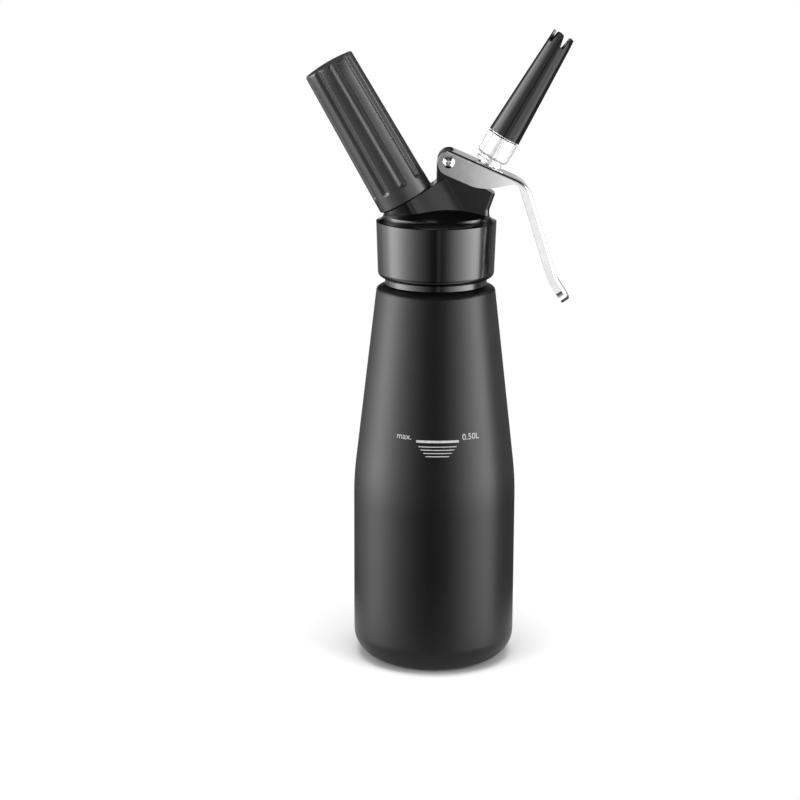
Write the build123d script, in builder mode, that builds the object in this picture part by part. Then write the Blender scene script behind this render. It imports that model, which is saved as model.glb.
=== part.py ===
"""Whipped cream dispenser: a half-litre pressure bottle with a screw-on Y-shaped head.

Millimetres, +Z up. The origin is the centre of the bottle's foot. The charger arm leans to -X and
the dispensing valve to +X. Both arms start at the fork point on the bottle's axis, and places
along an arm are distances from that point.
"""
import os
from math import cos, radians, sin

from build123d import *

os.makedirs("parts", exist_ok=True)

# ---- fits shared by all the pieces ----
running_fit = 0.05  # radial play of a pin or stem in its hole
face_gap = 0.05  # between faces that touch when assembled
thread_gap = 0.35  # radial room for a thread between two screwed pieces
seat_gap = 0.3  # between pieces that move apart

# ---- bottle ----
body_radius = 40.15
base_rounding = 12.8
foot_width = 4.3  # of the flat ring that the bottle stands on
foot_recess = 1.5
bottle_wall = 1.7
floor_thickness = 2.4
cone_start_height = 91.8
cone_bend_radius = 150.0
shoulder_height = 189.4
shoulder_width = 7.4  # from the neck out to the shoulder's corner
shoulder_flat = 2.7  # of the shoulder that is level, next to the neck
shoulder_drop = 1.8  # from the level part down to the corner
shoulder_rounding = 2.0
neck_radius = 21.6
neck_wall = 2.0
neck_length = 20.6
neck_rim_chamfer = 0.5

# ---- head: skirt, deck and the two arms ----
gasket_thickness = 2.0
gasket_overhang = 2.0
skirt_bore_play = 0.9
skirt_gap = 0.4  # between the skirt's lip and the bottle's shoulder
skirt_lip_wall = 2.4
skirt_lip_height = 2.6
skirt_chamfer_width = 3.45
skirt_chamfer_height = 1.8
skirt_rounding = 2.5
skirt_flare = 0.9  # the skirt widens this much up to its rim
skirt_rise = 10.4  # of the skirt's rim above the bottle's neck
rim_width = 3.55  # from the skirt's rim in to the domed deck
rim_hollow_radius = 4.2  # of the turned hollow between the rim and the deck
dome_rise = 17.3  # above the bottle's neck
dome_radius = 90.0
ceiling_recess = 1.0
arm_angle = 30.0  # from the vertical
fork_depth = 4.5  # below the rim of the bottle's neck
slab_wall = 1.05  # beside the valve's bush
boss_inner_wall = 2.75  # of the valve boss's rim, towards the lug
boss_outer_wall = 4.55
boss_drop = 7.6  # from the valve boss's rim to the waist below it
waist_step = 0.2  # of the slab's narrow end in from the deck's edge
charger_seat_at = 29.4
arm_step = 0.55  # from the holder's mouth in to the charger arm
seat_ledge = 1.7  # of the holder's seat beyond the arm, towards the valve
lug_reach = 5.5  # of the lever's lug, left of the pivot
lug_rise = 1.6  # from the holder's seat to the lug's foot
lug_shoulder = 2.6  # below the pivot, where the lug starts to round
lug_rounding = 6.4
slab_edge_fillet = 2.6

# ---- charger holder and gas way ----
charger_radius = 9.0
charger_length = 65.0
charger_neck_radius = 4.4
charger_neck_length = 8.0
charger_shoulder = 7.0
charger_wall = 1.6
charger_lip_rounding = 0.5
charger_neck_rounding = 2.0
charger_shoulder_rounding = 6.0
charger_end_flat = 0.5
charger_end_chamfer = 5.0  # of the hollow inside
charger_play = 0.35
holder_wall = 2.2  # under the flutes, at the end
holder_flare = 1.35  # the holder widens this much down to its mouth
holder_mouth_wall = 2.25
holder_cap = 4.9
holder_end_rounding = 1.2
holder_dome = 0.9
holder_lip_chamfer = 0.5
flute_count = 9
flute_width = 5.7
flute_depth = 1.15
flute_corner_radius = 0.9
flute_start = 7.0  # from the mouth
flute_overrun = 8.0  # of the cutter past the end
flute_phase = 9.7
spigot_length = 11.0
pin_socket_wall = 1.6  # from the charger's neck out to the socket
pin_socket_at = 27.0
pin_body_length = 4.5
needle_radius = 0.9
needle_length = 4.4
needle_play = 0.8  # radial room for the needle in the charger's neck
needle_point = 0.1  # flat left round the bore at the needle's tip
charger_washer = 2.5
liner_wall = 0.9
liner_lip = 1.2
gas_hole_radius = 1.2
gas_turn_at = 19.5
check_valve_radius = 4.0
check_valve_thickness = 1.6

# ---- dispensing valve ----
stem_radius = 4.0
stem_thread_step = 0.35
stem_duct_radius = 2.2
duct_floor = 0.6  # below the ports
stem_waist_radius = 3.0
stem_bore_play = 0.6
port_radius = 1.2
port_at = 15.2
waist_length = 5.0
o_ring_at = 20.6
o_ring_section = 0.69  # radius of the ring's own section
o_ring_sides = 8  # flats round that section
groove_depth = 0.9
bush_at = 24.0
bush_wall = 1.5
bush_length = 4.5
valve_boss_at = 38.9
valve_seat_at = 12.8
valve_seal_lap = 1.0  # of the seal over the rim of the stem's bore
valve_seal_thickness = 2.2
valve_pocket_room = 1.4  # round the seal
spring_wire_radius = 0.45
spring_wire_sides = 6  # flats round the wire
spring_play = 0.4  # between the spring and the stem
spring_turns = 5.5
flange_lap = 1.0  # of the stem's flange beyond the spring
shoulder_thickness = 2.0
stem_tail_radius = 2.5
stem_tail_length = 5.6
seal_nut_thickness = 3.0
seal_nut_flats = 8.0
web_clearance = 0.9  # from the lever's web to the flange below it and the washer above

# ---- adapter and decorating tip ----
lever_washer_lap = 0.3  # beyond the stem's flange
lever_washer_thickness = 1.2
adapter_neck_wall = 1.7
adapter_neck_length = 1.65
adapter_grip_length = 11.1
adapter_chamfer = 1.2
adapter_top_chamfer = 0.15
adapter_spigot_chamfer = 0.6
adapter_duct_step = 0.4
adapter_thread_length = 9.2
adapter_spigot_radius = 5.2
adapter_spigot_length = 9.3
adapter_groove_count = 8
adapter_groove_radius = 0.55
tip_gasket_thickness = 0.3
tip_gasket_inset = 0.6
insert_wall = 0.85
insert_flange_width = 0.4
insert_flange_thickness = 0.5
tip_base_wall = 1.25  # from the insert's flange out to the tip's base
tip_slot_radius = 5.84  # of the cone at the bottom of the slots
tip_cone_length = 49.6
tip_mouth_radius = 4.2
tip_throat_step = 0.4  # from the insert's bore in to the throat
tip_throat_length = 2.0
tine_length = 6.1
tine_count = 5
tine_rounding = 0.8
tine_slot_width = 1.9  # at its bottom
tine_slot_mouth = 3.9
tine_slot_corner_radius = 0.5
tine_phase = -18.0

# ---- lever ----
pivot_x = 5.5
pivot_rise = 44.4  # above the fork
lever_sheet = 1.4
lever_slope = 23.4  # of the channel's web, below the horizontal
web_rise = 5.8  # from the pivot to the web's outer face
cheek_drop = 6.1  # from the pivot to the cheeks' straight lower edge
lever_eye_shift = 0.9  # of the eye's centre from the pivot, along the web
lever_cheek_length = 15.6  # of the straight lower edge, from the eye's centre
cheek_heel_run = 6.6
cheek_heel_drop = 0.7
cheek_heel_slope = 0.19
cheek_curve_radius = 16.0
cheek_heel_radius = 6.0
handle_corner_radius = 3.0
lever_bend_reach = 39.5  # from the pivot to the bend, along the web
lever_bend_radius = 15.0
lever_bend_fillet = 1.6  # between the web and the cheeks
handle_slope = 72.2
handle_depth = 4.7
handle_length = 48.7
tail_slope = 56.3
tail_length = 12.2
tail_bend_radius = 14.0
tail_corner_radius = 6.5
stem_slot_play = 0.35  # beside the stem
stem_slot_run = 0.8  # the slot is this much longer than wide
stem_slot_shift = 0.45  # of its middle, towards the pivot
pivot_sleeve_radius = 2.5
pivot_screw_radius = 1.5
pivot_head_radius = 2.9
pivot_head_height = 1.5
screw_cross_width = 0.8
screw_cross_length = 3.4
screw_cross_taper = 12


def at(arm, distance):
    """A plane square to an arm's axis, that far from the fork."""
    return Plane(fork + arm * distance, x_dir=(0, 1, 0), z_dir=arm)


def section(plane, *points):
    """A closed polygon on a plane, given by its corners."""
    with BuildSketch(plane) as drawn:
        with BuildLine():
            Polyline(*points, close=True)
        make_face()
    return drawn.sketch


def inward(run):
    """The inner side of a stretch that runs down an outline, in the side view."""
    return Vector(run.Y, -run.X)


def corner(first_point, first_run, second_point, second_run):
    """Where two straight lines of the side view meet."""
    gap = second_point - first_point
    cross = first_run.X * second_run.Y - first_run.Y * second_run.X
    return first_point + first_run * ((gap.X * second_run.Y - gap.Y * second_run.X) / cross)


def finish(piece, label):
    """Name a finished piece and write its file."""
    piece.part.label = label
    export_step(piece.part, f"parts/{label}.step")


# ---- heights and axes ----
neck_top_height = shoulder_height + neck_length
gasket_seat_height = neck_top_height + gasket_thickness
ceiling_height = gasket_seat_height + ceiling_recess
skirt_bottom_height = shoulder_height + skirt_gap
skirt_top_height = neck_top_height + skirt_rise
dome_height = neck_top_height + dome_rise
fork_height = neck_top_height - fork_depth
lean = radians(arm_angle)
fork = Vector(0, 0, fork_height)
valve_direction = Vector(sin(lean), 0, cos(lean))
charger_direction = Vector(-sin(lean), 0, cos(lean))
valve_axis = Axis(fork, valve_direction)
charger_axis = Axis(fork, charger_direction)
# in a section, local X is the distance from the axis and local Y the distance from the fork
valve_section = Plane(fork, x_dir=(cos(lean), 0, -sin(lean)), z_dir=(0, -1, 0))
charger_section = Plane(fork, x_dir=(cos(lean), 0, sin(lean)), z_dir=(0, -1, 0))
side_view = Plane(origin=(0, 0, 0), x_dir=(1, 0, 0), z_dir=(0, -1, 0))

# ---- radii round the neck ----
neck_bore_radius = neck_radius - neck_wall
gasket_inner_radius = neck_bore_radius - gasket_overhang
skirt_bore_radius = neck_radius + skirt_bore_play
skirt_lip_radius = skirt_bore_radius + skirt_lip_wall
skirt_lower_radius = skirt_lip_radius + skirt_chamfer_width
skirt_upper_radius = skirt_lower_radius + skirt_flare
deck_radius = skirt_upper_radius - rim_width

# ---- the charger's side, from the charger outwards ----
chamber_radius = charger_radius + charger_play
holder_end_radius = chamber_radius + holder_wall + flute_depth
holder_mouth_radius = holder_end_radius + holder_flare
liner_radius = holder_mouth_radius - holder_mouth_wall - face_gap
liner_bore_radius = liner_radius - liner_wall
spigot_radius = liner_bore_radius - thread_gap
charger_arm_radius = holder_mouth_radius - arm_step
seat_reach = charger_arm_radius + seat_ledge
pin_socket_radius = charger_neck_radius + pin_socket_wall
pin_face_at = pin_socket_at + pin_body_length
charger_neck_at = pin_face_at + charger_washer + face_gap
charger_shoulder_at = charger_neck_at + charger_neck_length
charger_body_at = charger_shoulder_at + charger_shoulder
charger_end_at = charger_neck_at + charger_length
holder_mouth_at = charger_seat_at + seat_gap
holder_end_at = charger_end_at + charger_play + holder_cap
holder_length = holder_end_at - holder_mouth_at
holder_draft = holder_flare / holder_length
spigot_end_at = charger_seat_at + spigot_length

# ---- the valve's side, from the stem outwards ----
stem_bore_radius = stem_radius + stem_bore_play
valve_seal_radius = stem_bore_radius + valve_seal_lap
valve_pocket_radius = valve_seal_radius + valve_pocket_room
bush_radius = stem_radius + running_fit + bush_wall
spring_mean_radius = stem_radius + spring_play + spring_wire_radius
shoulder_flange_radius = spring_mean_radius + spring_wire_radius + flange_lap
slab_half_width = bush_radius + slab_wall
lever_inner_half = slab_half_width + seat_gap
lever_width = 2 * (lever_inner_half + lever_sheet)
stem_slot_width = 2 * (stem_radius + stem_slot_play)

# ---- where the lever's web crosses the valve, and what sits on the stem there ----
slope = radians(lever_slope)
web_run = Vector(cos(slope), -sin(slope))
web_up = Vector(sin(slope), cos(slope))
pivot = Vector(pivot_x, 0, fork_height + pivot_rise)
pivot_flat = Vector(pivot.X, pivot.Z)
web_start = pivot_flat + web_up * web_rise
fork_flat = Vector(0, fork_height)
web_crossing = corner(web_start, web_run, fork_flat, Vector(sin(lean), cos(lean)))
web_at = (web_crossing - fork_flat).length
sheet_along_stem = lever_sheet / cos(lean - slope)
shoulder_at = web_at - sheet_along_stem - web_clearance - shoulder_thickness
lever_washer_at = web_at + web_clearance
adapter_at = lever_washer_at + lever_washer_thickness
stem_tail_at = valve_seat_at - stem_tail_length
spring_at = bush_at + bush_length + face_gap
spring_length = shoulder_at - face_gap - spring_at

# ---- adapter and tip ----
lever_washer_radius = shoulder_flange_radius + lever_washer_lap
adapter_neck_radius = stem_radius + adapter_neck_wall
insert_bore_radius = adapter_spigot_radius + thread_gap
insert_radius = insert_bore_radius + insert_wall
insert_flange_radius = insert_radius + insert_flange_width
tip_base_radius = insert_flange_radius + tip_base_wall
adapter_grip_radius = tip_base_radius
adapter_grip_at = adapter_at + adapter_neck_length
adapter_top_at = adapter_grip_at + adapter_grip_length
insert_at = adapter_top_at + tip_gasket_thickness + face_gap
insert_end_at = adapter_top_at + adapter_spigot_length
tip_at = insert_at + insert_flange_thickness + face_gap
tip_slot_at = tip_at + tip_cone_length
tip_end_at = tip_slot_at + tine_length
tip_taper = (tip_base_radius - tip_slot_radius) / tip_cone_length

# ---- bottle: drawn aluminium, necked in at the top ----
shoulder_edge = Vector(neck_radius + shoulder_flat, shoulder_height)
shoulder_corner = Vector(neck_radius + shoulder_width, shoulder_height - shoulder_drop)
cone_foot = Vector(body_radius, cone_start_height)
foot_inner_radius = body_radius - base_rounding - foot_width
# the cavity's outline runs one wall inside the shell's
shoulder_run = (shoulder_corner - shoulder_edge).normalized()
cone_run = (cone_foot - shoulder_corner).normalized()
inner_edge = shoulder_edge + inward(shoulder_run) * bottle_wall
inner_cone = cone_foot + inward(cone_run) * bottle_wall
inner_body = Vector(body_radius - bottle_wall, foot_recess + floor_thickness)
inner_corner = corner(inner_edge, shoulder_run, inner_cone, cone_run)
inner_bend = corner(inner_cone, cone_run, inner_body, Vector(0, 1))
inner_neck = corner(inner_edge, shoulder_run, Vector(neck_bore_radius, 0), Vector(0, 1))

with BuildPart() as bottle:
    with BuildSketch(side_view) as bottle_outside:
        with BuildLine():
            shell_line = FilletPolyline(
                (foot_inner_radius, 0),
                (body_radius, 0),
                cone_foot,
                shoulder_corner,
                shoulder_edge,
                radius=[base_rounding, cone_bend_radius, shoulder_rounding],
            )
            Polyline(
                shoulder_edge,
                (neck_radius, shoulder_height),
                (neck_radius, neck_top_height),
                (0, neck_top_height),
                (0, foot_recess),
                (foot_inner_radius - foot_recess, foot_recess),
                shell_line @ 0,
            )
        make_face()
    revolve(axis=Axis.Z)
    with BuildSketch(side_view) as bottle_inside:
        with BuildLine():
            cavity_line = FilletPolyline(
                (0, inner_body.Y),
                inner_body,
                inner_bend,
                inner_corner,
                radius=[base_rounding - bottle_wall, cone_bend_radius],
            )
            Polyline(
                inner_corner,
                inner_neck,
                (neck_bore_radius, neck_top_height),
                (0, neck_top_height),
                cavity_line @ 0,
            )
        make_face()
    revolve(axis=Axis.Z, mode=Mode.SUBTRACT)
    chamfer(bottle.edges().group_by(Axis.Z)[-1], neck_rim_chamfer)
finish(bottle, "bottle")

# ---- head gasket: flat ring on the bottle's rim ----
with BuildPart() as head_gasket:
    with BuildSketch(Plane.XY.offset(neck_top_height)):
        Circle(neck_radius + skirt_bore_play / 2)
        Circle(gasket_inner_radius, mode=Mode.SUBTRACT)
    extrude(amount=gasket_thickness)
finish(head_gasket, "head_gasket")

# ---- head: one aluminium casting with the skirt, the two arms and the lever's lug ----
seat_centre = fork + charger_direction * charger_seat_at
boss_centre = fork + valve_direction * valve_boss_at
boss_across = Vector(cos(lean), 0, -sin(lean))
seat_across = Vector(cos(lean), 0, sin(lean))
seat_left = seat_centre - seat_across * slab_half_width
arm_foot = seat_left - charger_direction * ((seat_left.Z - ceiling_height) / cos(lean))
seat_right = seat_centre + seat_across * seat_reach
boss_left = boss_centre - boss_across * (bush_radius + boss_inner_wall)
boss_right = boss_centre + boss_across * (bush_radius + boss_outer_wall)
waist_reach = deck_radius - waist_step
lug_radius = web_rise - lever_sheet - seat_gap
lug_left = pivot.X - lug_reach
lug_end = pivot_flat + Vector(lug_radius, 0).rotate(Axis.Z, 40)
gas_turn = fork + charger_direction * gas_turn_at

with BuildPart() as head_body:
    # the charger arm, cut off at the deck's edge
    with BuildSketch(at(charger_direction, gas_turn_at - 10)):
        Circle(charger_arm_radius)
    extrude(amount=charger_seat_at - gas_turn_at + 10)
    with BuildSketch(Plane.XY.offset(ceiling_height)):
        Circle(deck_radius)
    extrude(amount=dome_height, mode=Mode.INTERSECT)
    # the slab that carries the valve and the lever's lug
    with BuildSketch(side_view) as slab_outline:
        with BuildLine():
            Polyline(
                (arm_foot.X, arm_foot.Z),
                (seat_left.X, seat_left.Z),
                (seat_right.X, seat_right.Z),
                (lug_left, seat_right.Z + lug_rise),
                (lug_left, pivot.Z - lug_shoulder),
            )
            RadiusArc(
                (lug_left, pivot.Z - lug_shoulder),
                (pivot.X, pivot.Z + lug_radius),
                lug_rounding,
            )
            CenterArc(pivot_flat, lug_radius, 90, -50)
            Polyline(
                lug_end,
                (boss_left.X, boss_left.Z),
                (boss_right.X, boss_right.Z),
                (waist_reach, boss_right.Z - boss_drop),
                (waist_reach, ceiling_height),
                (arm_foot.X, arm_foot.Z),
            )
        make_face()
    extrude(amount=slab_half_width, both=True)
    end_edges = [
        edge
        for edge in head_body.edges().filter_by(Axis.Y, reverse=True)
        if abs(edge.center().Y) > slab_half_width - 0.01 and edge.center().X > waist_reach - 1
    ]
    fillet(end_edges, slab_edge_fillet)
    # the domed deck and the skirt that screws on the bottle's neck
    dome_centre = dome_height - dome_radius
    dome_edge = (deck_radius, dome_centre + (dome_radius**2 - deck_radius**2) ** 0.5)
    dome_middle = dome_centre + (dome_radius**2 - deck_radius**2 / 4) ** 0.5
    lip_top_height = skirt_bottom_height + skirt_lip_height
    with BuildSketch(side_view) as skirt_outline:
        with BuildLine():
            Polyline(
                (0, dome_height),
                (0, skirt_bottom_height),
                (skirt_lip_radius, skirt_bottom_height),
                (skirt_lip_radius, lip_top_height),
            )
            FilletPolyline(
                (skirt_lip_radius, lip_top_height),
                (skirt_lower_radius, lip_top_height + skirt_chamfer_height),
                (skirt_upper_radius, skirt_top_height),
                radius=skirt_rounding,
            )
            RadiusArc((skirt_upper_radius, skirt_top_height), dome_edge, rim_hollow_radius)
            ThreePointArc(dome_edge, (deck_radius / 2, dome_middle), (0, dome_height))
        make_face()
    revolve(axis=Axis.Z)
    # the threaded spigot for the charger holder
    with BuildSketch(at(charger_direction, charger_seat_at - 1)):
        Circle(spigot_radius)
    extrude(amount=spigot_length + 1)
    # the hollow that takes the neck and the gasket
    revolve(
        section(
            side_view,
            (0, skirt_bottom_height - 1),
            (skirt_bore_radius, skirt_bottom_height - 1),
            (skirt_bore_radius, gasket_seat_height),
            (gasket_inner_radius, gasket_seat_height),
            (gasket_inner_radius, ceiling_height),
            (0, ceiling_height),
        ),
        axis=Axis.Z,
        mode=Mode.SUBTRACT,
    )
    # the pin's socket and the gas way down to the ceiling
    with BuildSketch(at(charger_direction, pin_socket_at)):
        Circle(pin_socket_radius)
    extrude(amount=spigot_end_at - pin_socket_at + 1, mode=Mode.SUBTRACT)
    with BuildSketch(at(charger_direction, gas_turn_at)):
        Circle(gas_hole_radius)
    extrude(amount=pin_socket_at - gas_turn_at + 1, mode=Mode.SUBTRACT)
    with BuildSketch(Plane.XY.offset(ceiling_height - 1)):
        with Locations((gas_turn.X, 0)):
            Circle(gas_hole_radius)
    extrude(amount=gas_turn.Z - ceiling_height + 1.5, mode=Mode.SUBTRACT)
    # the valve's pocket, bore and counterbore
    with BuildSketch(at(valve_direction, valve_seat_at)):
        Circle(valve_pocket_radius)
    extrude(amount=-2 * valve_seat_at, mode=Mode.SUBTRACT)
    with BuildSketch(at(valve_direction, valve_seat_at - 1)):
        Circle(stem_bore_radius)
    extrude(amount=bush_at - valve_seat_at + 2, mode=Mode.SUBTRACT)
    with BuildSketch(at(valve_direction, bush_at)):
        Circle(bush_radius + face_gap)
    extrude(amount=valve_boss_at - bush_at + 5, mode=Mode.SUBTRACT)
    # the hole for the lever's pivot
    with BuildSketch(side_view):
        with Locations(pivot_flat):
            Circle(pivot_sleeve_radius + running_fit)
    extrude(amount=slab_half_width + 1, both=True, mode=Mode.SUBTRACT)
finish(head_body, "head_body")

# ---- charger pin: hollow needle on a round body, pressed into its socket ----
needle_bore = needle_radius / 2
with BuildPart() as charger_pin:
    revolve(
        section(
            charger_section,
            (needle_bore, pin_socket_at + face_gap),
            (pin_socket_radius - face_gap, pin_socket_at + face_gap),
            (pin_socket_radius - face_gap, pin_face_at),
            (needle_radius, pin_face_at),
            (needle_radius, pin_face_at + needle_length - 2 * needle_bore),
            (needle_bore + needle_point, pin_face_at + needle_length),
            (needle_bore, pin_face_at + needle_length),
        ),
        axis=charger_axis,
    )
finish(charger_pin, "charger_pin")

# ---- charger seal: rubber washer round the needle ----
needle_room = needle_radius + needle_play
with BuildPart() as charger_seal:
    with BuildSketch(at(charger_direction, pin_face_at)):
        Circle(pin_socket_radius - face_gap)
        Circle(needle_room, mode=Mode.SUBTRACT)
    extrude(amount=charger_washer)
finish(charger_seal, "charger_seal")

# ---- check valve: rubber mushroom under the gas way ----
with BuildPart() as check_valve:
    with BuildSketch(Plane.XY.offset(ceiling_height)):
        with Locations((gas_turn.X, 0)):
            Circle(check_valve_radius)
    extrude(amount=-check_valve_thickness)
    fillet(check_valve.edges().group_by(Axis.Z)[0], check_valve_thickness / 2)
    with BuildSketch(Plane.XY.offset(ceiling_height - check_valve_thickness / 2)):
        with Locations((gas_turn.X, 0)):
            Circle(gas_hole_radius - 4 * face_gap)
    extrude(amount=check_valve_thickness / 2 + 3 * gas_hole_radius)
finish(check_valve, "check_valve")

# ---- gas charger: steel cartridge with a narrow neck ----
charge_radius = charger_radius - charger_wall
charge_end_at = charger_end_at - charger_wall
with BuildPart() as gas_charger:
    with BuildSketch(charger_section) as charger_outside:
        with BuildLine():
            charger_line = FilletPolyline(
                (0, charger_neck_at),
                (charger_neck_radius, charger_neck_at),
                (charger_neck_radius, charger_shoulder_at),
                (charger_radius, charger_body_at),
                (charger_radius, charger_end_at),
                (0, charger_end_at),
                radius=[
                    charger_lip_rounding,
                    charger_neck_rounding,
                    charger_shoulder_rounding,
                    charger_radius - charger_end_flat,
                ],
            )
            Line(charger_line @ 1, charger_line @ 0)
        make_face()
    revolve(axis=charger_axis)
    revolve(
        section(
            charger_section,
            (0, charger_neck_at - 1),
            (needle_room, charger_neck_at - 1),
            (needle_room, charger_shoulder_at + charger_wall),
            (charge_radius, charger_body_at + charger_wall / 2),
            (charge_radius, charge_end_at - charger_end_chamfer),
            (charge_radius - charger_end_chamfer, charge_end_at),
            (0, charge_end_at),
        ),
        axis=charger_axis,
        mode=Mode.SUBTRACT,
    )
finish(gas_charger, "gas_charger")

# ---- holder liner: threaded metal ring inside the holder's mouth ----
liner_at = holder_mouth_at + seat_gap
liner_lip_at = spigot_end_at + seat_gap + face_gap
liner_end_at = liner_lip_at + liner_lip
with BuildPart() as holder_liner:
    revolve(
        section(
            charger_section,
            (liner_bore_radius, liner_at),
            (liner_radius, liner_at),
            (liner_radius, liner_end_at),
            (chamber_radius, liner_end_at),
            (chamber_radius, liner_lip_at),
            (liner_bore_radius, liner_lip_at),
        ),
        axis=charger_axis,
    )
finish(holder_liner, "holder_liner")

# ---- flute cutter: flat-bottomed bar with rounded front corners, laid along the draft ----
flute_floor = holder_mouth_radius - flute_depth
flute_low = charger_section.from_local_coords(
    (flute_floor - holder_draft * flute_start, holder_mouth_at + flute_start)
)
flute_high = charger_section.from_local_coords(
    (
        flute_floor - holder_draft * (holder_length + flute_overrun),
        holder_end_at + flute_overrun,
    )
)
flute_run = flute_high - flute_low
flute_plane = Plane(flute_low, x_dir=flute_run, z_dir=Vector(0, 1, 0).cross(flute_run))
with BuildPart() as flute_cutter:
    with BuildSketch(flute_plane) as flute_plan:
        with Locations((flute_run.length / 2, 0)):
            Rectangle(flute_run.length, flute_width)
        fillet(flute_plan.vertices().group_by(Axis.X)[0], flute_corner_radius)
    extrude(amount=flute_depth + 3)

# ---- holder shell: fluted plastic cap over the charger ----
crown_reach = holder_end_radius - holder_end_rounding
crown_sphere = (crown_reach**2 + holder_dome**2) / (2 * holder_dome)
crown_middle = holder_dome - crown_sphere + (crown_sphere**2 - crown_reach**2 / 4) ** 0.5
rounding_middle = holder_end_rounding * (1 - cos(radians(45)))
with BuildPart() as holder_shell:
    with BuildSketch(charger_section) as holder_outside:
        with BuildLine():
            Polyline(
                (0, holder_end_at + holder_dome),
                (0, holder_mouth_at),
                (holder_mouth_radius - holder_lip_chamfer, holder_mouth_at),
                (holder_mouth_radius, holder_mouth_at + holder_lip_chamfer),
                (holder_end_radius, holder_end_at - holder_end_rounding),
            )
            ThreePointArc(
                (holder_end_radius, holder_end_at - holder_end_rounding),
                (holder_end_radius - rounding_middle, holder_end_at - rounding_middle),
                (crown_reach, holder_end_at),
            )
            ThreePointArc(
                (crown_reach, holder_end_at),
                (crown_reach / 2, holder_end_at + crown_middle),
                (0, holder_end_at + holder_dome),
            )
        make_face()
    revolve(axis=charger_axis)
    for flute in range(flute_count):
        turn = flute_phase - 90 + flute * 360 / flute_count
        add(flute_cutter.part.rotate(charger_axis, turn), mode=Mode.SUBTRACT)
    revolve(
        section(
            charger_section,
            (0, holder_mouth_at - 1),
            (liner_radius + face_gap, holder_mouth_at - 1),
            (liner_radius + face_gap, liner_end_at + face_gap),
            (chamber_radius, liner_end_at + face_gap),
            (chamber_radius, charger_end_at + charger_play),
            (0, charger_end_at + charger_play),
        ),
        axis=charger_axis,
        mode=Mode.SUBTRACT,
    )
finish(holder_shell, "holder_shell")

# ---- valve bush: guides the stem and carries the spring ----
with BuildPart() as valve_bush:
    with BuildSketch(at(valve_direction, bush_at)):
        Circle(bush_radius)
        Circle(stem_radius + running_fit, mode=Mode.SUBTRACT)
    extrude(amount=bush_length)
finish(valve_bush, "valve_bush")

# ---- valve spring: between the bush and the stem's flange ----
spring_rise = spring_length - 2 * spring_wire_radius
spring_start = fork + valve_direction * (spring_at + spring_wire_radius)
with BuildPart() as valve_spring:
    with BuildLine() as spring_line:
        Helix(
            pitch=spring_rise / spring_turns,
            height=spring_rise,
            radius=spring_mean_radius,
            center=spring_start,
            direction=valve_direction,
        )
    with BuildSketch(Plane(spring_line.line @ 0, z_dir=spring_line.line % 0)):
        RegularPolygon(spring_wire_radius, spring_wire_sides)
    sweep(is_frenet=True)
finish(valve_spring, "valve_spring")

# ---- valve stem: hollow plunger from the seal to the adapter ----
groove_root = stem_radius - groove_depth
groove_half = 1.2 * o_ring_section
stem_thread_radius = stem_radius - stem_thread_step
stem_top_at = adapter_at + adapter_thread_length - seat_gap
with BuildPart() as valve_stem:
    revolve(
        section(
            valve_section,
            (0, stem_tail_at),
            (stem_tail_radius, stem_tail_at),
            (stem_tail_radius, valve_seat_at),
            (stem_waist_radius, valve_seat_at),
            (stem_waist_radius, valve_seat_at + waist_length),
            (stem_radius, valve_seat_at + waist_length),
            (stem_radius, o_ring_at - groove_half),
            (groove_root, o_ring_at - groove_half),
            (groove_root, o_ring_at + groove_half),
            (stem_radius, o_ring_at + groove_half),
            (stem_radius, shoulder_at),
            (shoulder_flange_radius, shoulder_at),
            (shoulder_flange_radius, shoulder_at + shoulder_thickness),
            (stem_radius, shoulder_at + shoulder_thickness),
            (stem_radius, adapter_at),
            (stem_thread_radius, adapter_at),
            (stem_thread_radius, stem_top_at),
            (stem_duct_radius, stem_top_at),
            (stem_duct_radius, port_at - port_radius - duct_floor),
            (0, port_at - port_radius - duct_floor),
        ),
        axis=valve_axis,
    )
    for turn in (0, 90):
        port_direction = valve_section.x_dir.rotate(valve_axis, turn)
        with BuildSketch(Plane(fork + valve_direction * port_at, z_dir=port_direction)):
            Circle(port_radius)
        extrude(amount=stem_waist_radius + 1, both=True, mode=Mode.SUBTRACT)
finish(valve_stem, "valve_stem")

# ---- stem O-ring ----
with BuildPart() as stem_o_ring:
    with BuildSketch(valve_section):
        with Locations((groove_root + o_ring_section + face_gap, o_ring_at)):
            RegularPolygon(o_ring_section, o_ring_sides)
    revolve(axis=valve_axis)
finish(stem_o_ring, "stem_o_ring")

# ---- valve seal and the nut that holds it on the stem's tail ----
seal_at = valve_seat_at - face_gap - valve_seal_thickness
with BuildPart() as valve_seal:
    with BuildSketch(at(valve_direction, seal_at)):
        Circle(valve_seal_radius)
        Circle(stem_tail_radius + running_fit, mode=Mode.SUBTRACT)
    extrude(amount=valve_seal_thickness)
finish(valve_seal, "valve_seal")

with BuildPart() as seal_nut:
    with BuildSketch(at(valve_direction, seal_at - seal_nut_thickness)):
        RegularPolygon(seal_nut_flats / 2, 6, major_radius=False)
        Circle(stem_tail_radius + running_fit, mode=Mode.SUBTRACT)
    extrude(amount=seal_nut_thickness)
finish(seal_nut, "seal_nut")

# ---- lever washer: between the lever and the adapter ----
with BuildPart() as lever_washer:
    with BuildSketch(at(valve_direction, lever_washer_at)):
        Circle(lever_washer_radius)
        Circle(stem_radius + running_fit, mode=Mode.SUBTRACT)
    extrude(amount=lever_washer_thickness)
finish(lever_washer, "lever_washer")

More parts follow.
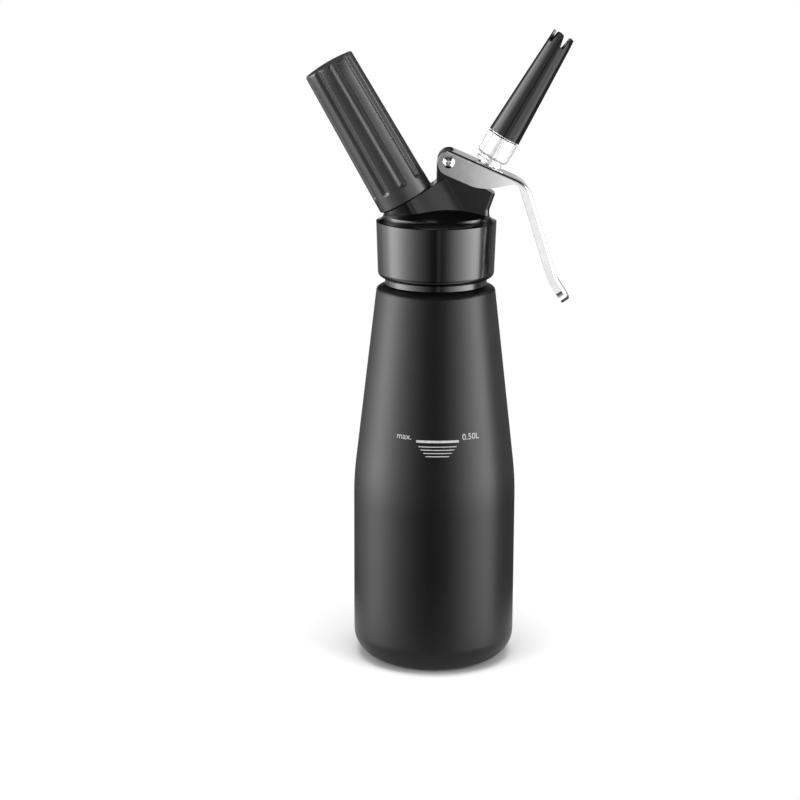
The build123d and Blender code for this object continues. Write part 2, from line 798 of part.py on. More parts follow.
# ---- tip adapter: grooved nut that joins the stem and the tip ----
adapter_bore_radius = stem_duct_radius + adapter_duct_step
groove_circle = adapter_grip_radius + adapter_groove_radius / 4
with BuildPart() as tip_adapter:
    revolve(
        section(
            valve_section,
            (stem_thread_radius + face_gap, adapter_at),
            (adapter_neck_radius, adapter_at),
            (adapter_neck_radius, adapter_grip_at),
            (adapter_grip_radius - adapter_chamfer, adapter_grip_at),
            (adapter_grip_radius, adapter_grip_at + adapter_chamfer),
            (adapter_grip_radius, adapter_top_at - adapter_top_chamfer),
            (adapter_grip_radius - adapter_top_chamfer, adapter_top_at),
            (adapter_spigot_radius, adapter_top_at),
            (adapter_spigot_radius, insert_end_at - adapter_spigot_chamfer),
            (adapter_spigot_radius - adapter_spigot_chamfer, insert_end_at),
            (adapter_bore_radius, insert_end_at),
            (adapter_bore_radius, adapter_at + adapter_thread_length),
            (stem_thread_radius + face_gap, adapter_at + adapter_thread_length),
        ),
        axis=valve_axis,
    )
    with BuildSketch(at(valve_direction, adapter_grip_at - 1)):
        with PolarLocations(groove_circle, adapter_groove_count):
            Circle(adapter_groove_radius)
    extrude(amount=adapter_grip_length + 1 + face_gap, mode=Mode.SUBTRACT)
finish(tip_adapter, "tip_adapter")

# ---- tip gasket ----
with BuildPart() as tip_gasket:
    with BuildSketch(at(valve_direction, adapter_top_at)):
        Circle(insert_flange_radius - tip_gasket_inset)
        Circle(adapter_spigot_radius + face_gap, mode=Mode.SUBTRACT)
    extrude(amount=tip_gasket_thickness)
finish(tip_gasket, "tip_gasket")

# ---- tip insert: threaded steel ring moulded into the tip ----
with BuildPart() as tip_insert:
    revolve(
        section(
            valve_section,
            (insert_bore_radius, insert_at),
            (insert_flange_radius, insert_at),
            (insert_flange_radius, insert_at + insert_flange_thickness),
            (insert_radius, insert_at + insert_flange_thickness),
            (insert_radius, insert_end_at),
            (insert_bore_radius, insert_end_at),
        ),
        axis=valve_axis,
    )
finish(tip_insert, "tip_insert")

# ---- decorating tip: tapered nozzle ending in tines ----
tip_end_radius = tip_slot_radius - tip_taper * tine_length
tip_throat_radius = insert_bore_radius - tip_throat_step
tine_wall = tip_end_radius - tip_mouth_radius
tine_chamfer = tine_wall / 4
slot_half = tine_slot_width / 2
slot_mouth_half = tine_slot_mouth / 2
slot_arc_at = tip_end_at - tine_rounding
arc_middle = tine_rounding * sin(radians(45))
with BuildPart() as decorating_tip:
    revolve(
        section(
            valve_section,
            (tip_mouth_radius, tip_end_at - tine_chamfer),
            (tip_throat_radius, insert_end_at + tip_throat_length),
            (tip_throat_radius, insert_end_at + face_gap),
            (insert_radius + face_gap, insert_end_at + face_gap),
            (insert_radius + face_gap, tip_at),
            (tip_base_radius, tip_at),
            (tip_end_radius, tip_end_at - tine_chamfer),
            (tip_end_radius - tine_chamfer, tip_end_at),
            (tip_mouth_radius + tine_chamfer, tip_end_at),
        ),
        axis=valve_axis,
    )
    for slot in range(tine_count):
        turn = tine_phase - 90 + (slot + 0.5) * 360 / tine_count
        slot_direction = valve_section.x_dir.rotate(valve_axis, turn)
        with BuildSketch(Plane(fork, x_dir=valve_direction, z_dir=slot_direction)) as slot_outline:
            with BuildLine() as slot_side:
                FilletPolyline(
                    (tip_slot_at, 0),
                    (tip_slot_at, slot_half),
                    (slot_arc_at, slot_mouth_half),
                    radius=tine_slot_corner_radius,
                )
                ThreePointArc(
                    (slot_arc_at, slot_mouth_half),
                    (slot_arc_at + arc_middle, slot_mouth_half + tine_rounding - arc_middle),
                    (tip_end_at, slot_mouth_half + tine_rounding),
                )
                Polyline(
                    (tip_end_at, slot_mouth_half + tine_rounding),
                    (tip_end_at + tine_rounding, slot_mouth_half + tine_rounding),
                    (tip_end_at + tine_rounding, 0),
                    (tip_slot_at, 0),
                )
            make_face()
            mirror(about=Plane.XZ)
        extrude(amount=tip_base_radius, mode=Mode.SUBTRACT)
finish(decorating_tip, "decorating_tip")

# ---- lever: one stamped channel, from the eye at the pivot to the turned-out tail ----
handle_run = Vector(cos(radians(handle_slope)), -sin(radians(handle_slope)))
tail_run = Vector(cos(radians(tail_slope)), -sin(radians(tail_slope)))
lever_blank_end = 8  # of the blank, beyond the pivot, before the eye is trimmed
eye_radius = (web_rise + cheek_drop) / 2
eye_centre = web_start - web_up * eye_radius + web_run * lever_eye_shift
web_end = web_start + web_run * lever_bend_reach
handle_end = web_end + handle_run * handle_length
tail_end = handle_end + tail_run * tail_length
handle_inner = web_end + inward(handle_run) * handle_depth
tail_inner = tail_end + inward(tail_run) * handle_depth
tail_bend_inner = corner(handle_inner, handle_run, tail_inner, tail_run)
cheek_start = pivot_flat - web_up * cheek_drop - web_run * lever_blank_end
cheek_end = eye_centre - web_up * eye_radius + web_run * lever_cheek_length
cheek_heel = cheek_end + Vector(cheek_heel_run, -cheek_heel_drop)
handle_top_inner = corner(cheek_heel, Vector(1, cheek_heel_slope), handle_inner, handle_run)
# the hollow's outline runs one sheet inside the lever's back
web_under = web_start - web_up * lever_sheet
handle_under = web_end + inward(handle_run) * lever_sheet
tail_under = tail_end + inward(tail_run) * lever_sheet
tail_face = tail_under - tail_run * lever_sheet
far_out = 60
tail_face_edges = Axis((0, 0, 0), Vector(inward(tail_run).X, 0, inward(tail_run).Y))

with BuildPart() as lever_hollow:
    with BuildSketch(side_view) as hollow_outline:
        with BuildLine():
            hollow_line = FilletPolyline(
                web_under,
                corner(web_under, web_run, handle_under, handle_run),
                corner(handle_under, handle_run, tail_under, tail_run),
                tail_face,
                radius=[lever_bend_radius - lever_sheet, tail_bend_radius + lever_sheet],
            )
            Polyline(
                hollow_line @ 1,
                tail_face + inward(tail_run) * far_out,
                web_under - web_run * far_out,
                web_start - web_run * far_out + web_up * lever_sheet,
                web_start + web_up * lever_sheet,
                hollow_line @ 0,
            )
        make_face()
    extrude(amount=lever_inner_half, both=True)
    fillet(
        lever_hollow.edges().filter_by(tail_face_edges), tail_corner_radius - lever_sheet
    )

with BuildPart() as lever:
    with BuildSketch(side_view) as lever_outline:
        with BuildLine():
            lever_back = FilletPolyline(
                web_start - web_run * lever_blank_end,
                web_end,
                handle_end,
                tail_end,
                radius=[lever_bend_radius, tail_bend_radius],
            )
            lever_front = FilletPolyline(
                tail_inner,
                tail_bend_inner,
                handle_top_inner,
                cheek_heel,
                cheek_end,
                cheek_start,
                radius=[
                    tail_bend_radius - handle_depth,
                    handle_corner_radius,
                    cheek_heel_radius,
                    cheek_curve_radius,
                ],
            )
            Line(lever_back @ 1, lever_front @ 0)
            Line(lever_front @ 1, lever_back @ 0)
        make_face()
    extrude(amount=lever_width / 2, both=True)
    fillet(lever.edges().filter_by(tail_face_edges), tail_corner_radius)
    back_edges = [
        edge
        for edge in lever.edges()
        if lever_back.distance_to(Vertex(edge.center().X, edge.center().Z, 0)) < 0.01
    ]
    fillet(back_edges, lever_bend_fillet)
    add(lever_hollow.part, mode=Mode.SUBTRACT)
    # the round eye round the pivot
    with BuildSketch(side_view) as eye_trim:
        with BuildLine():
            Polyline(
                eye_centre + web_up * (eye_radius + 1),
                eye_centre + web_up * (eye_radius + 1) - web_run * far_out,
                eye_centre - web_up * (eye_radius + 1) - web_run * far_out,
                eye_centre - web_up * (eye_radius + 1),
                close=True,
            )
        make_face()
        with Locations(eye_centre):
            Circle(eye_radius, mode=Mode.SUBTRACT)
    extrude(amount=lever_width, both=True, mode=Mode.SUBTRACT)
    # the slot for the stem and the holes for the pivot
    slot_centre = web_crossing - web_run * stem_slot_shift
    slot_plane = Plane(
        (slot_centre.X, 0, slot_centre.Y),
        x_dir=(web_run.X, 0, web_run.Y),
        z_dir=(web_up.X, 0, web_up.Y),
    )
    with BuildSketch(slot_plane):
        SlotOverall(stem_slot_width + stem_slot_run, stem_slot_width)
    extrude(amount=3 * lever_sheet, both=True, mode=Mode.SUBTRACT)
    with BuildSketch(side_view):
        with Locations(pivot_flat):
            Circle(pivot_sleeve_radius + running_fit)
    extrude(amount=lever_width, both=True, mode=Mode.SUBTRACT)
finish(lever, "lever")

# ---- pivot: a screw with a domed cross head, and the sleeve nut it turns into ----
cheek_face = lever_width / 2
sleeve_end = cheek_face - face_gap
screw_start = cheek_face + face_gap
head_sphere = (pivot_head_radius**2 + pivot_head_height**2) / (2 * pivot_head_height)
shank_radius = pivot_screw_radius - running_fit


def domed_head(face, sign):
    """The half outline of a domed head that stands off a cheek, from the pivot's axis."""
    crown = Vector(0, face + sign * pivot_head_height)
    rim = Vector(pivot_head_radius, face)
    between = Vector(
        pivot_head_radius / 2,
        face + sign * (pivot_head_height - head_sphere)
        + sign * (head_sphere**2 - pivot_head_radius**2 / 4) ** 0.5,
    )
    return crown, between, rim


# across the pivot, local X is the distance from its axis and local Y runs along it
pivot_section = Plane(pivot, x_dir=(1, 0, 0), z_dir=(0, 0, 1))
pivot_axis = Axis(pivot, (0, 1, 0))

with BuildPart() as pivot_screw:
    crown, between, rim = domed_head(-screw_start, -1)
    with BuildSketch(pivot_section) as screw_outline:
        with BuildLine():
            ThreePointArc(crown, between, rim)
            Polyline(
                rim,
                (shank_radius, -screw_start),
                (shank_radius, sleeve_end - 2 * pivot_screw_radius),
                (0, sleeve_end - 2 * pivot_screw_radius),
                crown,
            )
        make_face()
    revolve(axis=pivot_axis)
    with BuildSketch(Plane(pivot - Vector(0, screw_start + pivot_head_height, 0), z_dir=(0, 1, 0))):
        Rectangle(screw_cross_width, screw_cross_length)
        Rectangle(screw_cross_length, screw_cross_width)
    extrude(amount=pivot_head_height, taper=screw_cross_taper, mode=Mode.SUBTRACT)
finish(pivot_screw, "pivot_screw")

with BuildPart() as pivot_nut:
    crown, between, rim = domed_head(screw_start, 1)
    with BuildSketch(pivot_section) as nut_outline:
        with BuildLine():
            ThreePointArc(crown, between, rim)
            Polyline(
                rim,
                (pivot_sleeve_radius, screw_start),
                (pivot_sleeve_radius, -sleeve_end),
                (pivot_screw_radius, -sleeve_end),
                (pivot_screw_radius, sleeve_end - pivot_screw_radius),
                (0, sleeve_end - pivot_screw_radius),
                crown,
            )
        make_face()
    revolve(axis=pivot_axis)
finish(pivot_nut, "pivot_nut")
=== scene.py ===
from math import cos, pi, radians, sin

import bmesh
import bpy
from mathutils import Matrix, Vector
from mathutils.bvhtree import BVHTree


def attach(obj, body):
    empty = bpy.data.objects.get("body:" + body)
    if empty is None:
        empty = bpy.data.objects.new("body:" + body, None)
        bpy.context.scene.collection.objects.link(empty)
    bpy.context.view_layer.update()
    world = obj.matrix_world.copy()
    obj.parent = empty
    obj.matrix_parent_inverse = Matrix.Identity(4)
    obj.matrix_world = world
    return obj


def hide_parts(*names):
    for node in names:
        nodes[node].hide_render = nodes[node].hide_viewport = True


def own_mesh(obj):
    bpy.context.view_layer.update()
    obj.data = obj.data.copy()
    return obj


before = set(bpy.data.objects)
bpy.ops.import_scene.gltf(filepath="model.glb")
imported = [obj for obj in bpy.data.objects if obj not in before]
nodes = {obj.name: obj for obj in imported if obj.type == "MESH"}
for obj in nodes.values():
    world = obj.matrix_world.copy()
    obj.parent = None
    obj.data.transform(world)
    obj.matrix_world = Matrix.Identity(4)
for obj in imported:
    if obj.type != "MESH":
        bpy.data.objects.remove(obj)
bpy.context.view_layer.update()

# ---- places and sizes, in metres, in the model's own frame ----
FORK = Vector((0, 0, 0.2055))  # where the charger's and the valve's axis meet
CHARGER_AXIS = Vector((-0.5, 0, 0.8660254))
CHARGER_ACROSS = Vector((0.8660254, 0, 0.5))
VALVE_AXIS = Vector((0.5, 0, 0.8660254))
UP = Vector((0, 0, 1))
FRONT = Vector((0, -1, 0))

# screw threads: places along the axis, from the fork where the axis leans
NECK_TOP = 0.210
NECK_RADIUS = 0.0216
NECK_THREAD_BOTTOM = 0.1955
NECK_THREAD_HEIGHT = 0.00065
NECK_THREAD_PITCH = 0.0025
SPIGOT_RADIUS = 0.0105
SPIGOT_START = 0.0303
SPIGOT_END = 0.0400
SPIGOT_THREAD_PITCH = 0.0015
ADAPTER_SPIGOT_RADIUS = 0.0052
ADAPTER_SPIGOT_START = 0.0652
ADAPTER_SPIGOT_END = 0.0724
ADAPTER_THREAD_PITCH = 0.001
FINE_THREAD_HEIGHT = 0.00025  # of the spigot's and the adapter's thread
THREAD_STEPS_PER_TURN = 72
THREAD_FADE_STEPS = 18  # over which a thread rises at its ends
THREAD_FOOT = -0.3  # a ridge starts under the surface, by this share of its height
# the ridge's section: (share of the pitch along the axis, share of the height)
THREAD_SECTION = ((-0.42, THREAD_FOOT), (-0.16, 0.8), (0.0, 1.0), (0.16, 0.8), (0.42, THREAD_FOOT))

# charger holder: places along the charger's axis, from the fork
HOLDER_MOUTH = 0.0297
HOLDER_END = 0.1043
HOLDER_MOUTH_RADIUS = 0.01405
HOLDER_END_RADIUS = 0.0127
HOLDER_LIP_CHAMFER = 0.0005
HOLDER_END_ROUNDING = 0.0012
HOLDER_RIM = HOLDER_END_RADIUS - HOLDER_END_ROUNDING  # radius of the end's dome
HOLDER_DOME = 0.0009  # its height
# (radius, place) pairs of the bore, from its floor to the mouth
HOLDER_BORE = [(0, 0.0994), (0.00935, 0.0994), (0.00935, 0.0420), (0.0118, 0.0420), (0.0118, HOLDER_MOUTH)]
HOLDER_PLAIN_PLACES = [0.0330, 0.0350, 0.0361]  # of the rings under the flutes
HOLDER_RING_POINTS = 360
ROUNDING_STEPS = 6
FLUTE_COUNT = 9
FLUTE_TURN = radians(11.8)  # of one flute from the front, towards the valve
FLUTE_HALF_WIDTH = 0.00245
FLUTE_DEPTH = 0.00105
FLUTE_LOW = 0.0383  # under it the flutes run out
FLUTE_END_SQUEEZE = 1.5  # times shorter than half a flute's width its low end is
FLUTE_END_POWER = 3  # how square the low ends are
FLUTE_END_START = 0.0363  # of the close rings round the low ends
FLUTE_END_RING_GAP = 0.0002
FLUTE_END_RINGS = 12
FLUTE_UPPER_START = FLUTE_LOW + 0.0004  # of the wide rings above them
FLUTE_UPPER_STEPS = 8

# valve spring
SPRING_RADIUS = 0.00485  # of the wire's middle
SPRING_WIRE_RADIUS = 0.00045
SPRING_END_ROOM = 1.1 * SPRING_WIRE_RADIUS  # from the spring's ends to the wire's middle
SPRING_TURNS = 5.5
SPRING_STEPS_PER_TURN = 48
WIRE_SIDES = 12

# cast blend between the charger arm and the slab: places from the charger's axis
ARM_RADIUS = 0.01349
SLAB_FACE = 0.00658
BLEND_TURN = radians(27)  # where it leaves the arm, from the front
BLEND_LOW = 0.006  # its ends along the charger's axis
BLEND_HIGH = 0.02938
BLEND_REACH = 0.0225  # where it ends on the slab
BLEND_ARM_PULL = 0.0055  # how far the curve's handles lie from its ends
BLEND_SLAB_PULL = 0.0075
BLEND_LIFT = 0.0003  # of the handle above the slab
BLEND_SINK = 0.0006  # of its back under the slab's face
BLEND_STEPS = 24

# fill mark: heights from the ground, lengths round the bottle from the mark's middle
MARK_TURN = radians(1.2)  # round the bottle, from the front
MARK_LIFT = 0.00003
BOTTLE_RADIUS_AT_MARK = 0.0370
OUTSIDE_BOTTLE = 0.06  # a radius that is surely outside it
MARK_CELLS = 24
THICK_BAR_HEIGHT = 0.1190
THICK_BAR_HALF_LENGTH = 0.01045
THICK_BAR_THICKNESS = 0.00115
THIN_BARS = 4
THIN_BAR_HEIGHT = THICK_BAR_HEIGHT - 0.0025  # of the highest one
THIN_BAR_GAP = 0.00155
THIN_BAR_HALF_LENGTH = 0.0093
THIN_BAR_SHORTER = 0.00125  # each one than the one above it, at both sides
THIN_BAR_THICKNESS = 0.0004
LETTER_SIZE = 0.0042
WORD_LEFT = -0.0207
WORD_RAISE = 0.0006  # of its foot above the thick bar's middle
NUMBER_LEFT = 0.0122
NUMBER_RAISE = 0.0004

SHARP_EDGE = radians(35)
SHARP_WIRE_END = radians(50)


# ---- small helpers for materials ----
def grey(level):
    """A colour without a hue."""
    return (level, level, level)


def new_material(name):
    """A material with only an output and a Principled shader."""
    material = bpy.data.materials.new(name)
    material.use_nodes = True
    tree = material.node_tree
    tree.nodes.clear()
    output = tree.nodes.new("ShaderNodeOutputMaterial")
    shader = tree.nodes.new("ShaderNodeBsdfPrincipled")
    tree.links.new(shader.outputs["BSDF"], output.inputs["Surface"])
    return material, tree, shader


def noise(tree, scale, detail, stretch=None):
    """A noise in object coordinates. stretch squeezes it along some axes."""
    place = tree.nodes.new("ShaderNodeTexCoord")
    texture = tree.nodes.new("ShaderNodeTexNoise")
    texture.inputs["Scale"].default_value = scale
    texture.inputs["Detail"].default_value = detail
    if stretch is None:
        tree.links.new(place.outputs["Object"], texture.inputs["Vector"])
        return texture.outputs["Fac"]
    mapping = tree.nodes.new("ShaderNodeMapping")
    mapping.inputs["Scale"].default_value = stretch
    tree.links.new(place.outputs["Object"], mapping.inputs["Vector"])
    tree.links.new(mapping.outputs["Vector"], texture.inputs["Vector"])
    return texture.outputs["Fac"]


def spread(tree, value, limits):
    """The value, from 0 to 1, laid out between the low and the high limit."""
    node = tree.nodes.new("ShaderNodeMapRange")
    node.inputs["To Min"].default_value, node.inputs["To Max"].default_value = limits
    tree.links.new(value, node.inputs["Value"])
    return node.outputs["Result"]


def tint(tree, value, dark, light):
    """A colour between dark and light."""
    node = tree.nodes.new("ShaderNodeValToRGB")
    dark_end, light_end = node.color_ramp.elements
    dark_end.position = 0.3
    light_end.position = 0.7
    dark_end.color = (*dark, 1)
    light_end.color = (*light, 1)
    tree.links.new(value, node.inputs["Fac"])
    return node.outputs["Color"]


def bump(tree, shader, value, distance):
    """Fine relief of that height, in metres."""
    node = tree.nodes.new("ShaderNodeBump")
    node.inputs["Strength"].default_value = 1.0
    node.inputs["Distance"].default_value = distance
    tree.links.new(value, node.inputs["Height"])
    tree.links.new(node.outputs["Normal"], shader.inputs["Normal"])


def coated(name, dark, light, rough, sheen, grain, relief):
    """A painted, coated or moulded surface: fine grain, patches of sheen and slight tone changes."""
    material, tree, shader = new_material(name)
    shader.inputs["Specular IOR Level"].default_value = sheen
    patches = noise(tree, scale=45, detail=4)
    fine = noise(tree, scale=grain, detail=2)
    tree.links.new(tint(tree, patches, dark, light), shader.inputs["Base Color"])
    tree.links.new(spread(tree, patches, rough), shader.inputs["Roughness"])
    bump(tree, shader, fine, relief)
    return material


def metal(name, dark, light, rough, stretch, relief):
    """Bare metal with fine lines along the way it was brushed or turned."""
    material, tree, shader = new_material(name)
    shader.inputs["Metallic"].default_value = 1.0
    lines = noise(tree, scale=1, detail=3, stretch=stretch)
    patches = noise(tree, scale=120, detail=3)
    tree.links.new(tint(tree, patches, dark, light), shader.inputs["Base Color"])
    tree.links.new(spread(tree, lines, rough), shader.inputs["Roughness"])
    bump(tree, shader, lines, relief)
    return material


# ---- materials ----
bottle_coat = coated(
    "bottle_coat", grey(0.0028), grey(0.0042), rough=(0.33, 0.38), sheen=0.2, grain=2600, relief=2e-5,
)
head_coat = coated(
    "head_coat", grey(0.0012), grey(0.0022), rough=(0.15, 0.19), sheen=0.42, grain=2600, relief=5e-6,
)
holder_plastic = coated(
    "holder_plastic", grey(0.008), grey(0.011), rough=(0.34, 0.42), sheen=0.6, grain=1800, relief=2e-5,
)
tip_plastic = coated(
    "tip_plastic", grey(0.004), grey(0.006), rough=(0.12, 0.17), sheen=0.5, grain=900, relief=6e-6,
)
seal_rubber = coated(
    "seal_rubber", grey(0.020), grey(0.028), rough=(0.55, 0.70), sheen=0.3, grain=2500, relief=2e-5,
)
gasket_silicone = coated(
    "gasket_silicone", (0.55, 0.55, 0.53), (0.62, 0.62, 0.60),
    rough=(0.45, 0.6), sheen=0.4, grain=1500, relief=1e-5,
)
lever_steel = metal(
    "lever_steel", grey(0.68), grey(0.76), rough=(0.07, 0.12), stretch=(260, 3500, 260), relief=2e-6,
)
adapter_steel = metal(
    "adapter_steel", grey(0.75), grey(0.81), rough=(0.46, 0.56), stretch=(700, 700, 3500), relief=1e-6,
)
pivot_chrome = metal(
    "pivot_chrome", grey(0.74), grey(0.82), rough=(0.08, 0.14), stretch=(900, 300, 900), relief=1e-6,
)
valve_steel = metal(
    "valve_steel", grey(0.55), grey(0.64), rough=(0.22, 0.32), stretch=(900, 900, 3000), relief=2e-6,
)
charger_steel = metal(
    "charger_steel", (0.48, 0.49, 0.51), (0.56, 0.57, 0.59),
    rough=(0.25, 0.36), stretch=(500, 500, 900), relief=3e-6,
)
liner_metal = metal(
    "liner_metal", grey(0.55), grey(0.63), rough=(0.28, 0.38), stretch=(900, 900, 2500), relief=2e-6,
)
bush_brass = metal(
    "bush_brass", (0.66, 0.48, 0.21), (0.75, 0.57, 0.27),
    rough=(0.24, 0.34), stretch=(900, 900, 2500), relief=2e-6,
)

FINISH = {
    "bottle": bottle_coat,
    "head_body": head_coat,
    "holder_shell": holder_plastic,
    "decorating_tip": tip_plastic,
    "lever": lever_steel,
    "tip_adapter": adapter_steel,
    "lever_washer": adapter_steel,
    "tip_insert": adapter_steel,
    "pivot_screw": pivot_chrome,
    "pivot_nut": pivot_chrome,
    "valve_stem": valve_steel,
    "valve_spring": valve_steel,
    "seal_nut": valve_steel,
    "charger_pin": valve_steel,
    "gas_charger": charger_steel,
    "holder_liner": liner_metal,
    "valve_bush": bush_brass,
    "charger_seal": seal_rubber,
    "check_valve": seal_rubber,
    "stem_o_ring": seal_rubber,
    "valve_seal": seal_rubber,
    "tip_gasket": seal_rubber,
    "head_gasket": gasket_silicone,
}
for node_name, material in FINISH.items():
    for material_slot in nodes[node_name].material_slots:
        material_slot.material = material


# ---- small helpers for pieces ----
def plain_mesh(name, shape):
    """The finished mesh of a shape."""
    mesh = bpy.data.meshes.new(name)
    shape.to_mesh(mesh)
    shape.free()
    return mesh


def smooth_mesh(name, shape, sharp_from=None):
    """The finished mesh of a shape, smooth but for the edges that are sharper than an angle."""
    bmesh.ops.recalc_face_normals(shape, faces=shape.faces)
    mesh = plain_mesh(name, shape)
    for face in mesh.polygons:
        face.use_smooth = True
    if sharp_from is not None:
        mesh.set_sharp_from_angle(angle=sharp_from)
    return mesh


def join_rows(shape, low, high, closed=True):
    """Faces between two rows of points, open or closed to rings. Either may be a single point."""
    count = max(len(low), len(high))
    if count == 1:
        return
    for step in range(count if closed else count - 1):
        after = (step + 1) % count
        corners = [low[step % len(low)], low[after % len(low)]]
        corners += [high[after % len(high)], high[step % len(high)]]
        shape.faces.new(list(dict.fromkeys(corners)))


def put(name, mesh, body, material):
    """Makes an object of a finished mesh, riding on a body."""
    piece = bpy.data.objects.new(name, mesh)
    bpy.context.scene.collection.objects.link(piece)
    mesh.materials.append(material)
    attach(piece, body)
    return piece


def thread(name, start, axis, radius, height, length, pitch, body, material):
    """A screw thread: a ridge with a rounded crest wound on a cylinder, fading out at both ends."""
    across = axis.orthogonal().normalized()
    beside = axis.cross(across)
    steps = int(length / pitch * THREAD_STEPS_PER_TURN)
    shape = bmesh.new()
    rows = []
    for step in range(steps + 1):
        turn = 2 * pi * step / THREAD_STEPS_PER_TURN
        out = across * cos(turn) + beside * sin(turn)
        along = length * step / steps
        fade = min(1.0, step / THREAD_FADE_STEPS, (steps - step) / THREAD_FADE_STEPS)
        row = []
        for share, rise in THREAD_SECTION:
            faded = rise * fade + THREAD_FOOT * (1 - fade)
            place = start + axis * (along + share * pitch) + out * (radius + height * faded)
            row.append(shape.verts.new(place))
        rows.append(row)
    for low, high in zip(rows, rows[1:]):
        join_rows(shape, low, high, closed=False)
    return put(name, smooth_mesh(name, shape), body, material)


thread(
    "neck_thread", UP * NECK_THREAD_BOTTOM, UP, NECK_RADIUS, NECK_THREAD_HEIGHT,
    NECK_TOP - NECK_THREAD_BOTTOM - NECK_THREAD_PITCH, NECK_THREAD_PITCH,
    "bottle", bottle_coat,
)
thread(
    "spigot_thread", FORK + CHARGER_AXIS * SPIGOT_START, CHARGER_AXIS, SPIGOT_RADIUS, FINE_THREAD_HEIGHT,
    SPIGOT_END - SPIGOT_START, SPIGOT_THREAD_PITCH,
    "head", head_coat,
)
thread(
    "adapter_thread", FORK + VALVE_AXIS * ADAPTER_SPIGOT_START, VALVE_AXIS, ADAPTER_SPIGOT_RADIUS,
    FINE_THREAD_HEIGHT, ADAPTER_SPIGOT_END - ADAPTER_SPIGOT_START, ADAPTER_THREAD_PITCH,
    "valve", adapter_steel,
)


# ---- charger holder: stands for the CAD holder, with flutes that have rounded lips and floors ----
def charger_point(radius, along, turn):
    """A point at a radius and a place along the charger's axis, turned from the front."""
    return FORK + CHARGER_AXIS * along + (CHARGER_ACROSS * sin(turn) + FRONT * cos(turn)) * radius


def holder_radius(along):
    """The holder's radius between its flutes."""
    share = (along - HOLDER_MOUTH) / (HOLDER_END - HOLDER_MOUTH)
    return HOLDER_MOUTH_RADIUS + (HOLDER_END_RADIUS - HOLDER_MOUTH_RADIUS) * share


def flute_depth(along, turn):
    """How far a flute goes in at that place."""
    pitch = 2 * pi / FLUTE_COUNT
    off = abs((turn - FLUTE_TURN + pitch / 2) % pitch - pitch / 2) * holder_radius(along)
    beyond = FLUTE_END_SQUEEZE * max(0.0, FLUTE_LOW - along)
    from_middle = (off**FLUTE_END_POWER + beyond**FLUTE_END_POWER) ** (1 / FLUTE_END_POWER)
    reach = from_middle / FLUTE_HALF_WIDTH
    return FLUTE_DEPTH * (1 + cos(pi * reach)) / 2 if reach < 1 else 0.0


def holder_profile():
    """(radius, place) pairs from the mouth's lip up the outside to the dome's middle."""
    rounding_start = HOLDER_END - HOLDER_END_ROUNDING
    upper_length = rounding_start - FLUTE_UPPER_START
    places = [HOLDER_MOUTH + HOLDER_LIP_CHAMFER] + HOLDER_PLAIN_PLACES
    places += [FLUTE_END_START + FLUTE_END_RING_GAP * step for step in range(FLUTE_END_RINGS)]
    places += [
        FLUTE_UPPER_START + upper_length * step / FLUTE_UPPER_STEPS for step in range(FLUTE_UPPER_STEPS + 1)
    ]
    pairs = [(HOLDER_MOUTH_RADIUS - HOLDER_LIP_CHAMFER, HOLDER_MOUTH)]
    pairs += [(holder_radius(place), place) for place in places]
    for step in range(1, ROUNDING_STEPS + 1):
        angle = pi / 2 * step / ROUNDING_STEPS
        radius = HOLDER_RIM + HOLDER_END_ROUNDING * cos(angle)
        pairs.append((radius, rounding_start + HOLDER_END_ROUNDING * sin(angle)))
    for step in range(1, ROUNDING_STEPS + 1):
        radius = HOLDER_RIM * (1 - step / ROUNDING_STEPS)
        pairs.append((radius, HOLDER_END + HOLDER_DOME * (1 - (radius / HOLDER_RIM) ** 2)))
    return pairs


holder_shape = bmesh.new()
holder_rows = []
for radius, along in holder_profile() + HOLDER_BORE:
    fluted = radius > HOLDER_RIM and along > HOLDER_MOUTH
    ring = []
    for step in range(HOLDER_RING_POINTS if radius > 0 else 1):
        turn = 2 * pi * step / HOLDER_RING_POINTS
        limit = holder_radius(along) - flute_depth(along, turn) if fluted else radius
        ring.append(holder_shape.verts.new(charger_point(min(radius, limit), along, turn)))
    holder_rows.append(ring)
for low, high in zip(holder_rows, holder_rows[1:] + holder_rows[:1]):
    join_rows(holder_shape, low, high)
holder_mesh = smooth_mesh("fluted_holder", holder_shape, SHARP_EDGE)
fluted_holder = put("fluted_holder", holder_mesh, "holder", holder_plastic)
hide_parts("holder_shell")

# ---- valve spring: stands for the CAD spring ----
spring_places = [(corner.co - FORK).dot(VALVE_AXIS) for corner in nodes["valve_spring"].data.vertices]
spring_low, spring_high = min(spring_places), max(spring_places)
spring_across = VALVE_AXIS.orthogonal().normalized()
spring_beside = VALVE_AXIS.cross(spring_across)
spring_steps = int(SPRING_TURNS * SPRING_STEPS_PER_TURN)
spring_shape = bmesh.new()
spring_rings = []
for step in range(spring_steps + 1):
    turn = 2 * pi * step / SPRING_STEPS_PER_TURN
    out = spring_across * cos(turn) + spring_beside * sin(turn)
    rise = (spring_high - spring_low - 2 * SPRING_END_ROOM) * step / spring_steps
    middle = FORK + VALVE_AXIS * (spring_low + SPRING_END_ROOM + rise) + out * SPRING_RADIUS
    ring = []
    for side in range(WIRE_SIDES):
        angle = 2 * pi * side / WIRE_SIDES
        from_middle = (out * cos(angle) + VALVE_AXIS * sin(angle)) * SPRING_WIRE_RADIUS
        ring.append(spring_shape.verts.new(middle + from_middle))
    spring_rings.append(ring)
for low, high in zip(spring_rings, spring_rings[1:]):
    join_rows(spring_shape, low, high)
spring_shape.faces.new(spring_rings[0])
spring_shape.faces.new(spring_rings[-1])
spring_mesh = smooth_mesh("coil_spring", spring_shape, SHARP_WIRE_END)
coil_spring = put("coil_spring", spring_mesh, "head", valve_steel)
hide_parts("valve_spring")
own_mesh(coil_spring)

